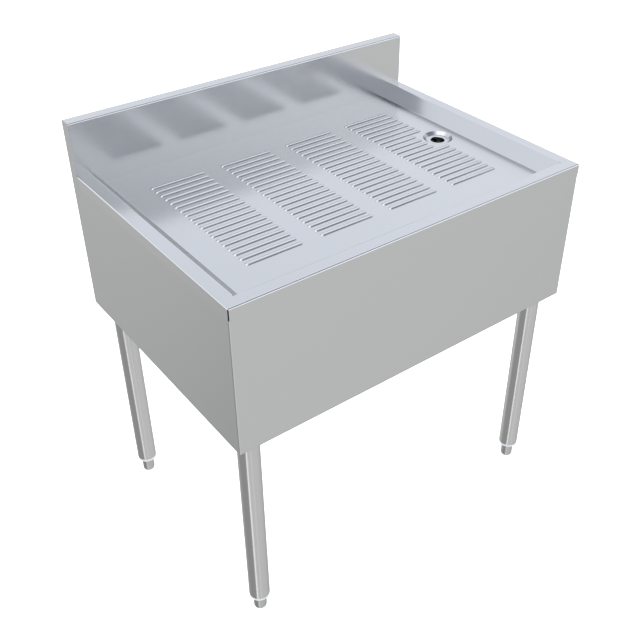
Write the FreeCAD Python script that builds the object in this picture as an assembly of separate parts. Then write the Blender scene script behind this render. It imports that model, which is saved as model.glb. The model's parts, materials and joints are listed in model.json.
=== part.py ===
"""Free-standing stainless underbar drainboard on four adjustable legs.

Millimetres, +Z up. The origin is on the floor under the middle of the body.
The front faces -Y, the backsplash stands at +Y, and the drain is on the +X side.
Each sub-part is one STEP file in parts/.
"""
import FreeCAD
import Part

import math
import os

os.makedirs("parts", exist_ok=True)

V = FreeCAD.Vector
UP = V(0, 0, 1)

# ---------------------------------------------------------------- driving sizes
# Body
WIDTH = 762.0              # outside, left to right
DEPTH = 540.0              # outside, front to back
RIM_HEIGHT = 750.0         # floor to the top of the rim, feet screwed in
BODY_HEIGHT = 292.0        # rim down to the bottom of the apron
SHEET = 1.2                # stainless sheet of the body
BEND = 3.0                 # outside radius of the body's folded edges

# Tray
TRAY_BEND = 2.5            # inside radius of the bends at the head and foot of the sloping walls
RIM_WIDTH = 25.4           # flat rim on the front and both sides
TRAY_DEPTH = 24.0          # rim down to the deck; the walls slope at 45 degrees
SKIRT_HEIGHT = 22.0        # short turned-down edge of the top sheet
SLIT_RADIUS = 0.9          # open slit down each front corner of the skirt
RELIEF_RADIUS = 1.6        # round relief at the ends of each slit
CORNER_HOLE_RADIUS = 1.2   # small hole where the rim's two front bends meet

# Backsplash
SPLASH_HEIGHT = 102.0      # above the rim
SPLASH_RETURN = 25.5       # depth of its flat top
SPLASH_HEM = 20.0          # turned-down edge behind the flat top

# Embossed ribs
RIB_LENGTH = 112.0         # over the rounded ends, at the deck
RIB_WIDTH = 9.6
RIB_RISE = 2.4
RIB_PITCH = 17.6           # row to row
BLOCK_PITCH = 148.4        # block to block
FIRST_RIB_SETBACK = 67.0   # front wall's foot to the first row
LAST_RIB_SETBACK = 80.0    # least distance from the last row to the backsplash
BLOCK_MARGIN = 35.0        # least distance from a block to a side wall's foot

# Drain
DRAIN_FROM_SIDE = 94.0     # drain axis to the right side of the body
DRAIN_KEEP_CLEAR = 35.0    # ribs stop this far from the drain axis
DISH_RADIUS = 30.0         # mouth of the drawn dish
DISH_SLOPE = 6.5           # plan width of the dish's sloping wall
DISH_SEAT_DEPTH = 6.5      # deck down to the seat of the fitting
DISH_BEND = 2.2            # radius of the dish's bends, on the upper face
DRAIN_BORE = 25.4          # inside diameter of the fitting
DRAIN_THREAD = 33.4        # outside diameter of its threaded body
DRAIN_OUTLET = 33.2        # outside diameter of the free end
DRAIN_FLANGE = 44.6        # flange diameter
DRAIN_FLANGE_THICK = 1.5
DRAIN_MOUTH = 3.3          # rounding of the bore's mouth
DRAIN_NECK_LENGTH = 22.0   # threaded body below the seat
DRAIN_OUTLET_LENGTH = 25.0
DRAIN_GROOVE = 3.0         # thread run-out between body and free end
DRAIN_GROOVE_DEPTH = 0.8
GASKET_DIAMETER = 52.0
GASKET_THICK = 2.5
WASHER_THICK = 1.5
LOCKNUT_ACROSS_FLATS = 44.0
LOCKNUT_THICK = 9.0

# Apron, rear rail and gussets
BOTTOM_FLANGE = 20.0       # inward flange along the apron's bottom
REAR_FLANGE = 18.0         # inward flange down the apron's rear edges
RAIL_HEIGHT = 60.0
RAIL_LIP = 20.0            # depth of the rail's upper and lower edges
RAIL_SOCKET_GAP = 2.0      # end of the rail's upper edge to the leg sockets
GUSSET_SIZE = 100.0
GUSSET_THICK = 2.0
GUSSET_CORNER_CUT = 8.0
GUSSET_NOSE = 24.0         # blunt width of the plate at each end of its long side

# Channels under the deck
CHANNEL_CROWN = 30.0       # flat width against the deck
CHANNEL_DROP = 25.0
CHANNEL_FOOT = 12.0        # turned-out edge on each side
CHANNEL_SHEET = 1.5
CHANNEL_END_GAP = 2.0      # to the tray's front wall and the backsplash
STUD_DIAMETER = 6.0
STUD_LENGTH = 16.0
STUDS_PER_CHANNEL = 3
STUD_END_DISTANCE = 60.0
STUD_NUT_ACROSS_FLATS = 10.0
STUD_NUT_THICK = 5.0

# Legs
LEG_INSET = 38.2           # leg axis to the sides, front and back of the body
LEG_DIAMETER = 40.0
LEG_WALL = 1.5
LEG_BOTTOM = 43.2          # floor to the tube's lower end
SOCKET_WALL = 2.4
SOCKET_DEPTH = 70.0
SOCKET_CAP = 2.5
SOCKET_FLANGE = 6.0        # width of the foot flange round the sleeve
SOCKET_FLANGE_THICK = 3.0
SOCKET_VENT = 6.0
SET_SCREW_DIAMETER = 8.0
SET_SCREW_LENGTH = 9.0
SET_SCREW_HEIGHT = 35.0    # above the gusset
SET_SCREW_KEY = 4.0        # across the flats of its hexagon socket
SET_SCREW_KEY_DEPTH = 4.0

# Insert and foot
INSERT_FLANGE_THICK = 6.5
INSERT_FLANGE_INSET = 0.4  # flange smaller than the tube, all round
INSERT_PLUG_LENGTH = 28.0
INSERT_TIP_TAPER = 1.5
FOOT_DIAMETER = 25.0
FOOT_NOSE = 6.5            # rounding of the foot's lower edge
STEM_DIAMETER = 12.0
STEM_ABOVE_FOOT = 37.0
STEM_IN_FOOT = 20.0
STEM_CHAMFER = 1.2

# Clearances
TUBE_CLEARANCE = 0.15      # tube in its socket and in the gusset, on the radius
PLUG_CLEARANCE = 0.05      # pressed parts, on the radius
THREAD_CLEARANCE = 0.25    # stem in its insert, on the radius
SHOULDER_GAP = 0.3         # foot screwed fully in, below its insert

# Straight steps in which small rounds are turned or pressed
ROUND_STEPS = 3

# ---------------------------------------------------------------- derived places
HALF_WIDTH = WIDTH / 2
FRONT = -DEPTH / 2
REAR = DEPTH / 2
RIM = RIM_HEIGHT
DECK = RIM - TRAY_DEPTH
SKIRT_BOTTOM = RIM - SKIRT_HEIGHT
BODY_BOTTOM = RIM - BODY_HEIGHT
SPLASH_FACE = REAR - SPLASH_RETURN
SPLASH_TOP = RIM + SPLASH_HEIGHT
WALL_HEAD_X = HALF_WIDTH - RIM_WIDTH
WALL_HEAD_Y = FRONT + RIM_WIDTH
WALL_FOOT_X = WALL_HEAD_X - TRAY_DEPTH
WALL_FOOT_Y = WALL_HEAD_Y + TRAY_DEPTH
DRAIN_X = HALF_WIDTH - DRAIN_FROM_SIDE
DRAIN_Y = (WALL_FOOT_Y + SPLASH_FACE) / 2
DISH_SEAT = DECK - DISH_SEAT_DEPTH
DISH_FLOOR_RADIUS = DISH_RADIUS - DISH_SLOPE
NUT_HOLE_RADIUS = DRAIN_THREAD / 2 + THREAD_CLEARANCE
FLANGE_TOP = BODY_BOTTOM + SHEET
GUSSET_TOP = FLANGE_TOP + GUSSET_THICK
SOCKET_CEILING = GUSSET_TOP + SOCKET_DEPTH
LEG_RADIUS = LEG_DIAMETER / 2
SLEEVE_BORE = LEG_RADIUS + TUBE_CLEARANCE
SLEEVE_RADIUS = SLEEVE_BORE + SOCKET_WALL
INSERT_BOTTOM = LEG_BOTTOM - INSERT_FLANGE_THICK
FOOT_SHOULDER = INSERT_BOTTOM - SHOULDER_GAP

CORNERS = {
    "front_left": (-1, -1),
    "front_right": (1, -1),
    "rear_left": (-1, 1),
    "rear_right": (1, 1),
}


# ---------------------------------------------------------------- helpers
def box(x0, x1, y0, y1, z0, z1):
    """Box between two corners, given axis by axis."""
    return Part.makeBox(x1 - x0, y1 - y0, z1 - z0, V(x0, y0, z0))


def cylinder(radius, z0, z1, x=0.0, y=0.0):
    """Upright cylinder from z0 to z1."""
    return Part.makeCylinder(radius, z1 - z0, V(x, y, z0), UP)


def tube(outer, inner, z0, z1):
    """Upright ring on the Z axis."""
    return cylinder(outer, z0, z1).cut(cylinder(inner, z0, z1))


def prism(points, along):
    """Solid swept from a closed polygon."""
    return Part.Face(Part.makePolygon(points + points[:1])).extrude(along)


def hexagon(across_flats, z0, z1):
    """Upright hexagonal bar on the Z axis."""
    radius = across_flats / math.sqrt(3)
    turns = [k * math.pi / 3 for k in range(6)]
    corners = [V(radius * math.cos(turn), radius * math.sin(turn), z0) for turn in turns]
    return prism(corners, V(0, 0, z1 - z0))


def corner_points(before, corner, after, radius):
    """Points along the tangent round of an outline's corner; a radius of 0 keeps the corner sharp."""
    if radius == 0:
        return [corner]
    back = (before - corner).normalize()
    ahead = (after - corner).normalize()
    half_angle = back.getAngle(ahead) / 2
    reach = radius / math.tan(half_angle)
    centre = corner + (back + ahead).normalize() * (radius / math.sin(half_angle))
    first = corner + back * reach - centre
    last = corner + ahead * reach - centre
    sweep = first.getAngle(last)
    points = []
    for k in range(ROUND_STEPS + 1):
        turn = sweep * k / ROUND_STEPS
        spoke = first * math.sin(sweep - turn) + last * math.sin(turn)
        points.append(centre + spoke * (1 / math.sin(sweep)))
    return points


def turned(points, rounds=None):
    """Solid turned round the Z axis from (radius, height) corners; rounds gives radii by corner number."""
    corners = [V(radius, 0, height) for radius, height in points]
    rounds = rounds or {}
    path = []
    for k, corner in enumerate(corners):
        after = corners[(k + 1) % len(corners)]
        path += corner_points(corners[k - 1], corner, after, rounds.get(k, 0))
    return Part.Face(Part.makePolygon(path + path[:1])).revolve(V(0, 0, 0), UP, 360)


def edges_where(shape, test):
    """Edges whose two ends both pass the test."""
    return [e for e in shape.Edges if len(e.Vertexes) == 2 and all(test(v.Point) for v in e.Vertexes)]


def near(a, b):
    """True where two lengths agree."""
    return abs(a - b) < 1e-4


def at_drain(shape):
    """Move a part made on the Z axis to the drain."""
    shape.translate(V(DRAIN_X, DRAIN_Y, 0))
    return shape


def save(node, shape):
    """Write one sub-part, after a check that it is sound."""
    solids = shape.Solids
    clean = solids[0] if len(solids) == 1 else Part.makeCompound(solids)
    if not solids or not clean.isValid():
        raise ValueError("bad shape: " + node)
    clean.exportStep("parts/" + node + ".step")
    print(node, len(solids), "solid(s)", round(clean.Volume / 1000, 1), "cm3")


# ---------------------------------------------------------------- pressed top
def tray_cavity(offset):
    """Space above the tray; offset 0 gives the upper face, SHEET the underside."""
    slant = offset * math.sqrt(2)
    floor = DECK - offset
    head = RIM + 1.0

    def rectangle(height):
        grow = height - RIM + slant
        x = WALL_HEAD_X + grow
        y = WALL_HEAD_Y - grow
        corners = [V(-x, y, height), V(x, y, height), V(x, SPLASH_FACE, height), V(-x, SPLASH_FACE, height)]
        return Part.makePolygon(corners + corners[:1])

    cavity = Part.makeLoft([rectangle(floor), rectangle(head)], True, True)

    def on_bend(edge):
        middle = edge.CenterOfMass
        level = near(middle.z, floor) and middle.y < SPLASH_FACE - 1
        mitre = floor < middle.z < head and middle.y < WALL_FOOT_Y
        return level or mitre and not near(middle.x, 0)

    return cavity.makeFillet(TRAY_BEND + offset, [e for e in cavity.Edges if on_bend(e)])


def tray_block(offset):
    """Block under the tray's upper face (offset 0) or under its underside (offset SHEET)."""
    x = HALF_WIDTH - offset
    y = FRONT + offset
    top = RIM - offset
    block = box(-x, x, y, SPLASH_FACE, DECK - SHEET, top)

    def on_fold(p):
        return near(p.z, top) and (near(abs(p.x), x) or near(p.y, y))

    folded = [e for e in edges_where(block, on_fold) if not near(e.CenterOfMass.y, SPLASH_FACE)]
    block = block.makeFillet(BEND - offset, folded).cut(tray_cavity(offset))
    grow = offset * (math.sqrt(2) - 1)

    def on_head(edge):
        middle = edge.CenterOfMass
        across = near(abs(middle.x), WALL_HEAD_X + grow) or near(middle.y, WALL_HEAD_Y - grow)
        return near(middle.z, top) and across

    return block.makeFillet(TRAY_BEND + SHEET - offset, [e for e in block.Edges if on_head(e)])


def below_skirt():
    """Ring of space under the skirt's lower edge."""
    x, y = HALF_WIDTH - SHEET, FRONT + SHEET
    outer = box(-HALF_WIDTH, HALF_WIDTH, FRONT, SPLASH_FACE, DECK - SHEET, SKIRT_BOTTOM)
    return outer.cut(box(-x, x, y, SPLASH_FACE, DECK - SHEET, SKIRT_BOTTOM))


def rib(length, offset):
    """Round-ended rib: its upper face (offset 0) or the hollow under it (offset SHEET)."""
    half_width = RIB_WIDTH / 2
    crown_radius = (half_width ** 2 + RIB_RISE ** 2) / (2 * RIB_RISE)
    axis_height = DECK + RIB_RISE - crown_radius
    radius = crown_radius - offset
    base = DECK - SHEET / 2 if offset == 0 else DECK - 2 * SHEET
    steepest = math.acos((base - axis_height) / radius)
    turns = [steepest * (1 - k / (ROUND_STEPS - 0.5)) for k in range(ROUND_STEPS)]
    side = [(radius * math.sin(t), axis_height + radius * math.cos(t)) for t in turns]
    reach = length / 2 - half_width

    half_section = [V(reach, 0, base)] + [V(reach + r, 0, z) for r, z in side] + [V(reach, 0, side[-1][1])]
    right_end = Part.Face(Part.makePolygon(half_section + half_section[:1]))
    right_end = right_end.revolve(V(reach, 0, 0), UP, 90).fuse(right_end.revolve(V(reach, 0, 0), UP, -90))
    left_end = right_end.mirror(V(0, 0, 0), V(1, 0, 0))
    section = [V(-reach, y, z) for y, z in side] + [V(-reach, -y, z) for y, z in reversed(side)]
    return prism(section, V(2 * reach, 0, 0)).multiFuse([left_end, right_end]).removeSplitter()


def rib_places():
    """Centre x, centre y and length of every rib, with those beside the drain cut short."""
    rows = int((SPLASH_FACE - LAST_RIB_SETBACK - WALL_FOOT_Y - FIRST_RIB_SETBACK) / RIB_PITCH) + 1
    blocks = int((2 * (WALL_FOOT_X - BLOCK_MARGIN) - RIB_LENGTH) / BLOCK_PITCH) + 1
    places = []
    for block in range(blocks):
        middle = (block - (blocks - 1) / 2) * BLOCK_PITCH
        left, right = middle - RIB_LENGTH / 2, middle + RIB_LENGTH / 2
        for row in range(rows):
            y = WALL_FOOT_Y + FIRST_RIB_SETBACK + row * RIB_PITCH
            end = right
            if abs(y - DRAIN_Y) < DRAIN_KEEP_CLEAR and right > DRAIN_X - DRAIN_KEEP_CLEAR > left:
                end = DRAIN_X - DRAIN_KEEP_CLEAR
            places.append(((left + end) / 2, y, end - left))
    return places


def ribs(offset):
    """All the ribs as separate solids, made from one master for each length."""
    masters = {}
    copies = []
    for x, y, length in rib_places():
        key = round(length, 3)
        if key not in masters:
            masters[key] = rib(length, offset)
        copy = masters[key].copy()
        copy.translate(V(x, y, 0))
        copies.append(copy)
    return copies


def drain_dish():
    """Drawn dish of constant sheet thickness, with rounded bends at its mouth and floor."""
    slope = math.atan2(DISH_SEAT_DEPTH, DISH_SLOPE)
    under = SHEET * math.tan(slope / 2)
    mouth = DISH_RADIUS + 2 * DISH_BEND
    profile = [
        (mouth, DECK),
        (DISH_RADIUS, DECK),
        (DISH_FLOOR_RADIUS, DISH_SEAT),
        (NUT_HOLE_RADIUS, DISH_SEAT),
        (NUT_HOLE_RADIUS, DISH_SEAT - SHEET),
        (DISH_FLOOR_RADIUS + under, DISH_SEAT - SHEET),
        (DISH_RADIUS + under, DECK - SHEET),
        (mouth, DECK - SHEET),
    ]
    rounds = {1: DISH_BEND, 2: DISH_BEND, 5: DISH_BEND + SHEET, 6: DISH_BEND - SHEET}
    return at_drain(turned(profile, rounds))


def backsplash():
    """Upright sheet that follows the tray's section, with its folded top and hem."""
    slant = SHEET * (math.sqrt(2) - 1)
    inner = HALF_WIDTH - SHEET
    foot_x, head_x = WALL_FOOT_X + slant, WALL_HEAD_X + slant
    under_rim = RIM - SHEET
    left = [(-inner, SPLASH_TOP - BEND), (-inner, under_rim), (-head_x, under_rim), (-foot_x, DECK - SHEET)]
    face = left + [(-x, z) for x, z in reversed(left)]
    upright = prism([V(x, SPLASH_FACE, z) for x, z in face], V(0, SHEET, 0))

    hem_bottom = SPLASH_TOP - SPLASH_HEM
    outer = box(-inner, inner, SPLASH_FACE, REAR, hem_bottom, SPLASH_TOP)
    hollow = box(-inner, inner, SPLASH_FACE + SHEET, REAR - SHEET, hem_bottom, SPLASH_TOP - SHEET)
    outer_folds = edges_where(outer, lambda p: near(p.z, SPLASH_TOP))
    inner_folds = edges_where(hollow, lambda p: near(p.z, SPLASH_TOP - SHEET))
    outer = outer.makeFillet(BEND, [e for e in outer_folds if near(e.CenterOfMass.x, 0)])
    hollow = hollow.makeFillet(BEND - SHEET, [e for e in inner_folds if near(e.CenterOfMass.x, 0)])
    return upright.fuse(outer.cut(hollow))


def corner_slits():
    """Cutter for the open slit down each front corner of the skirt."""
    head = RIM - BEND / 2
    sides = (-HALF_WIDTH, HALF_WIDTH)
    return Part.makeCompound([cylinder(SLIT_RADIUS, SKIRT_BOTTOM, head, x, FRONT) for x in sides])


def corner_reliefs():
    """Round reliefs at both ends of each slit and where the side folds meet the backsplash."""
    places = []
    for side in (-1, 1):
        places.append(V(side * HALF_WIDTH, FRONT, RIM - BEND / 2))
        places.append(V(side * HALF_WIDTH, FRONT, SKIRT_BOTTOM))
        places.append(V(side * HALF_WIDTH, SPLASH_FACE, RIM))
    return Part.makeCompound([Part.makeSphere(RELIEF_RADIUS, place) for place in places])


def corner_holes():
    """Small holes in the rim where its front and side bends meet."""
    bottom = RIM - TRAY_DEPTH / 2
    places = [(side * WALL_HEAD_X, WALL_HEAD_Y) for side in (-1, 1)]
    return Part.makeCompound([cylinder(CORNER_HOLE_RADIUS, bottom, RIM + 1.0, x, y) for x, y in places])


def drainboard_top():
    """The whole pressed top: tray, ribs, dish and backsplash in one sheet."""
    sheet = tray_block(0).cut(tray_block(SHEET)).cut(below_skirt())
    sheet = sheet.cut(at_drain(cylinder(DISH_RADIUS + 2 * DISH_BEND, DISH_SEAT, RIM)))
    sheet = sheet.multiFuse([backsplash(), drain_dish()] + ribs(0)).removeSplitter()
    sheet = sheet.cut(Part.makeCompound(ribs(SHEET)))
    return sheet.cut(corner_slits()).cut(corner_reliefs()).cut(corner_holes())


# ---------------------------------------------------------------- body sheets
def backsplash_end(side):
    """Flat plate that closes one end of the backsplash, flush with the body's side."""
    outer = side * HALF_WIDTH
    inner = side * (HALF_WIDTH - SHEET)
    plate = box(min(outer, inner), max(outer, inner), SPLASH_FACE, REAR, SKIRT_BOTTOM, SPLASH_TOP)
    folds = edges_where(plate, lambda p: near(p.z, SPLASH_TOP))
    folds = [e for e in folds if not near(e.CenterOfMass.y, (SPLASH_FACE + REAR) / 2)]
    return plate.makeFillet(BEND, folds).cut(corner_reliefs())


def apron_block(offset):
    """Outer (offset 0) or inner (offset SHEET) envelope of the wrapped apron."""
    x = HALF_WIDTH - offset
    y = FRONT + offset
    bottom = BODY_BOTTOM + offset
    block = box(-x, x, y, REAR - offset, bottom, SKIRT_BOTTOM)

    def on_fold(edge):
        middle = edge.CenterOfMass
        front = near(middle.y, y)
        side = near(abs(middle.x), x)
        return front and side or near(middle.z, bottom) and (front or side)

    return block.makeFillet(BEND - offset, [e for e in block.Edges if on_fold(e)])


def wraparound_apron():
    """Front and sides in one bent sheet, with flanges along the bottom and down the rear edges."""
    shell = apron_block(0).cut(apron_block(SHEET))
    window_x = HALF_WIDTH - BOTTOM_FLANGE
    window_y = FRONT + BOTTOM_FLANGE
    bottom = box(-window_x, window_x, window_y, REAR, BODY_BOTTOM, FLANGE_TOP)
    rear_x = HALF_WIDTH - REAR_FLANGE
    rear = box(-rear_x, rear_x, REAR - SHEET, REAR, BODY_BOTTOM, SKIRT_BOTTOM)
    return shell.cut(bottom).cut(rear).cut(leg_holes()).cut(corner_reliefs())


def leg_holes():
    """Cutters for the four legs where they pass the bottom flanges and the gussets."""
    axes = [leg_axis(*corner) for corner in CORNERS.values()]
    return Part.makeCompound([cylinder(SLEEVE_BORE, BODY_BOTTOM, GUSSET_TOP, x, y) for x, y in axes])


def rear_rail():
    """Channel between the apron's rear flanges, with its bottom level with the apron's."""
    web_x = HALF_WIDTH - REAR_FLANGE
    floor_x = HALF_WIDTH - BOTTOM_FLANGE
    shelf_x = HALF_WIDTH - LEG_INSET - SLEEVE_RADIUS - RAIL_SOCKET_GAP
    top = BODY_BOTTOM + RAIL_HEIGHT
    lip = REAR - RAIL_LIP
    web = box(-web_x, web_x, REAR - SHEET, REAR, BODY_BOTTOM, top)
    floor = box(-floor_x, floor_x, lip, REAR, BODY_BOTTOM, FLANGE_TOP)
    shelf = box(-shelf_x, shelf_x, lip, REAR, top - SHEET, top)
    return web.multiFuse([floor, shelf]).removeSplitter().cut(leg_holes())


def corner_gusset(sx, sy):
    """Corner plate on the bottom flanges, clear of the folds, with a hole for the leg."""
    x, y = HALF_WIDTH - BEND, REAR - BEND
    shape = [
        (x - GUSSET_CORNER_CUT, y),
        (x - GUSSET_SIZE, y),
        (x - GUSSET_SIZE, y - GUSSET_NOSE),
        (x - GUSSET_NOSE, y - GUSSET_SIZE),
        (x, y - GUSSET_SIZE),
        (x, y - GUSSET_CORNER_CUT),
    ]
    plate = prism([V(sx * px, sy * py, FLANGE_TOP) for px, py in shape], V(0, 0, GUSSET_THICK))
    return plate.cut(leg_holes())


def deck_channel():
    """Hat channel that lies along Y with its crown against the underside of the deck."""
    top = DECK - SHEET
    bottom = top - CHANNEL_DROP
    start = WALL_FOOT_Y + CHANNEL_END_GAP
    run = V(0, SPLASH_FACE - CHANNEL_END_GAP - start, 0)
    half, gauge = CHANNEL_CROWN / 2, CHANNEL_SHEET
    right = [(half, top), (half, bottom + gauge), (half + CHANNEL_FOOT, bottom + gauge)]
    right += [(half + CHANNEL_FOOT, bottom), (half - gauge, bottom), (half - gauge, top - gauge)]
    section = right + [(-x, z) for x, z in reversed(right)]
    hat = prism([V(x, start, z) for x, z in section], run)
    holes = [cylinder(STUD_DIAMETER / 2 + PLUG_CLEARANCE, top - gauge, top, 0, y) for y in stud_rows()]
    return hat.cut(Part.makeCompound(holes))


def stud_rows():
    """Stud places along a channel."""
    first = WALL_FOOT_Y + CHANNEL_END_GAP + STUD_END_DISTANCE
    last = SPLASH_FACE - CHANNEL_END_GAP - STUD_END_DISTANCE
    return [first + (last - first) * k / (STUDS_PER_CHANNEL - 1) for k in range(STUDS_PER_CHANNEL)]


def channel_axes():
    """The channels lie midway between the two outer pairs of rib blocks."""
    return {"left": -BLOCK_PITCH, "right": BLOCK_PITCH}


def channel_fasteners(make):
    """One fastener solid at each stud place of both channels."""
    copies = []
    for x in channel_axes().values():
        for y in stud_rows():
            copy = make()
            copy.translate(V(x, y, 0))
            copies.append(copy)
    return Part.makeCompound(copies)


def stud():
    """Weld stud that hangs from the deck through the channel's crown."""
    return cylinder(STUD_DIAMETER / 2, DECK - SHEET - STUD_LENGTH, DECK - SHEET)


def stud_nut():
    """Hexagon nut under the channel's crown."""
    top = DECK - SHEET - CHANNEL_SHEET
    body = hexagon(STUD_NUT_ACROSS_FLATS, top - STUD_NUT_THICK, top)
    return body.cut(cylinder(STUD_DIAMETER / 2 + PLUG_CLEARANCE, top - STUD_NUT_THICK, top))


# ---------------------------------------------------------------- legs and feet
def leg_axis(sx, sy):
    """Plan position of a leg."""
    return sx * (HALF_WIDTH - LEG_INSET), sy * (REAR - LEG_INSET)


def at_leg(shape, sx, sy):
    """Move a part made on the Z axis to its leg."""
    shape.translate(V(*leg_axis(sx, sy), 0))
    return shape


def screw_direction(sx, sy):
    """Level direction from a leg towards the middle of the body."""
    return V(-sx, -sy, 0).normalize()


def leg_socket(sx, sy):
    """Closed sleeve with a foot flange and a tapped hole for its set screw."""
    top = SOCKET_CEILING + SOCKET_CAP
    flange = SLEEVE_RADIUS + SOCKET_FLANGE
    body = cylinder(SLEEVE_RADIUS, GUSSET_TOP, top)
    body = body.fuse(cylinder(flange, GUSSET_TOP, GUSSET_TOP + SOCKET_FLANGE_THICK))
    body = body.cut(cylinder(SLEEVE_BORE, GUSSET_TOP, SOCKET_CEILING))
    body = body.cut(cylinder(SOCKET_VENT / 2, SOCKET_CEILING, top))
    height = GUSSET_TOP + SET_SCREW_HEIGHT
    radius = SET_SCREW_DIAMETER / 2 + PLUG_CLEARANCE
    hole = Part.makeCylinder(radius, 2 * SLEEVE_RADIUS, V(0, 0, height), screw_direction(sx, sy))
    return at_leg(body.cut(hole), sx, sy)


def set_screw(sx, sy):
    """Headless screw whose point bears on the tube."""
    screw = cylinder(SET_SCREW_DIAMETER / 2, 0, SET_SCREW_LENGTH)
    screw = screw.cut(hexagon(SET_SCREW_KEY, SET_SCREW_LENGTH - SET_SCREW_KEY_DEPTH, SET_SCREW_LENGTH))
    direction = screw_direction(sx, sy)
    screw.rotate(V(0, 0, 0), UP.cross(direction), 90)
    screw.translate(direction * LEG_RADIUS + V(0, 0, GUSSET_TOP + SET_SCREW_HEIGHT))
    return at_leg(screw, sx, sy)


def leg_tube(sx, sy):
    """Round tube from the foot insert up to the socket's ceiling."""
    return at_leg(tube(LEG_RADIUS, LEG_RADIUS - LEG_WALL, LEG_BOTTOM, SOCKET_CEILING), sx, sy)


def foot_insert(sx, sy):
    """Plastic plug with a flange that closes the tube's lower end."""
    bore = STEM_DIAMETER / 2 + THREAD_CLEARANCE
    plug = LEG_RADIUS - LEG_WALL - PLUG_CLEARANCE
    flange = LEG_RADIUS - INSERT_FLANGE_INSET
    top = LEG_BOTTOM + INSERT_PLUG_LENGTH
    profile = [
        (bore, INSERT_BOTTOM),
        (flange, INSERT_BOTTOM),
        (flange, LEG_BOTTOM),
        (plug, LEG_BOTTOM),
        (plug, top - INSERT_TIP_TAPER),
        (plug - INSERT_TIP_TAPER, top),
        (bore, top),
    ]
    return at_leg(turned(profile), sx, sy)


def foot(sx, sy):
    """Round-nosed foot with a blind hole for its stem."""
    radius = FOOT_DIAMETER / 2
    hole = STEM_DIAMETER / 2 + PLUG_CLEARANCE
    hole_bottom = FOOT_SHOULDER - STEM_IN_FOOT
    profile = [
        (0, 0),
        (radius, 0),
        (radius, FOOT_SHOULDER),
        (hole, FOOT_SHOULDER),
        (hole, hole_bottom),
        (0, hole_bottom),
    ]
    return at_leg(turned(profile, {1: FOOT_NOSE}), sx, sy)


def foot_stem(sx, sy):
    """Threaded stem, drawn at its outside diameter, seated in the foot."""
    radius = STEM_DIAMETER / 2
    bottom = FOOT_SHOULDER - STEM_IN_FOOT
    top = FOOT_SHOULDER + STEM_ABOVE_FOOT
    profile = [
        (0, bottom),
        (radius, bottom),
        (radius, top - STEM_CHAMFER),
        (radius - STEM_CHAMFER, top),
        (0, top),
    ]
    return at_leg(turned(profile), sx, sy)


# ---------------------------------------------------------------- drain
def drain_fitting():
    """Flanged body with a rounded mouth, a threaded neck and a free end for the waste pipe."""
    bore, neck, outlet = DRAIN_BORE / 2, DRAIN_THREAD / 2, DRAIN_OUTLET / 2
    top = DISH_SEAT + DRAIN_FLANGE_THICK
    neck_end = DISH_SEAT - DRAIN_NECK_LENGTH
    outlet_top = neck_end - DRAIN_GROOVE
    bottom = outlet_top - DRAIN_OUTLET_LENGTH
    groove = outlet - DRAIN_GROOVE_DEPTH
    profile = [
        (bore, top),
        (bore, bottom),
        (outlet, bottom),
        (outlet, outlet_top),
        (groove, outlet_top),
        (groove, neck_end),
        (neck, neck_end),
        (neck, DISH_SEAT),
        (DRAIN_FLANGE / 2, DISH_SEAT),
        (DRAIN_FLANGE / 2, top),
    ]
    return at_drain(turned(profile, {0: DRAIN_MOUTH}))


def drain_ring(outer, top, thickness):
    """Flat ring round the fitting's neck."""
    return at_drain(tube(outer, NUT_HOLE_RADIUS, top - thickness, top))


def drain_locknut(top):
    """Large thin hexagon nut."""
    body = hexagon(LOCKNUT_ACROSS_FLATS, top - LOCKNUT_THICK, top)
    bore = DRAIN_THREAD / 2 + PLUG_CLEARANCE
    return at_drain(body.cut(cylinder(bore, top - LOCKNUT_THICK, top)))


# ---------------------------------------------------------------- build
save("drainboard_top", drainboard_top())
save("backsplash_end_left", backsplash_end(-1))
save("backsplash_end_right", backsplash_end(1))
save("wraparound_apron", wraparound_apron())
save("rear_rail", rear_rail())

for name, x in channel_axes().items():
    channel = deck_channel()
    channel.translate(V(x, 0, 0))
    save("deck_channel_" + name, channel)
save("channel_studs", channel_fasteners(stud))
save("channel_nuts", channel_fasteners(stud_nut))

for name, corner in CORNERS.items():
    save("corner_gusset_" + name, corner_gusset(*corner))
    save("leg_socket_" + name, leg_socket(*corner))
    save("leg_tube_" + name, leg_tube(*corner))
    save("foot_insert_" + name, foot_insert(*corner))
    save("foot_" + name, foot(*corner))
    save("foot_stem_" + name, foot_stem(*corner))
save("leg_set_screws", Part.makeCompound([set_screw(*corner) for corner in CORNERS.values()]))

gasket_top = DISH_SEAT - SHEET
washer_top = gasket_top - GASKET_THICK
locknut_top = washer_top - WASHER_THICK
save("drain_fitting", drain_fitting())
save("drain_gasket", drain_ring(GASKET_DIAMETER / 2, gasket_top, GASKET_THICK))
save("drain_washer", drain_ring(GASKET_DIAMETER / 2, washer_top, WASHER_THICK))
save("drain_locknut", drain_locknut(locknut_top))
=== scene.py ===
# %% [markdown]
# # An underbar drainboard in satin stainless steel
# The solid model of the drainboard comes in as a fixed frame, already in metres and in its place. This
# lesson gives it the finish of the real thing and adds the small forms that a solid model leaves out:
# smooth pressed ribs, screw threads, chamfered nuts and weld beads. It ends with the light and the camera.

import json
import math

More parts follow.
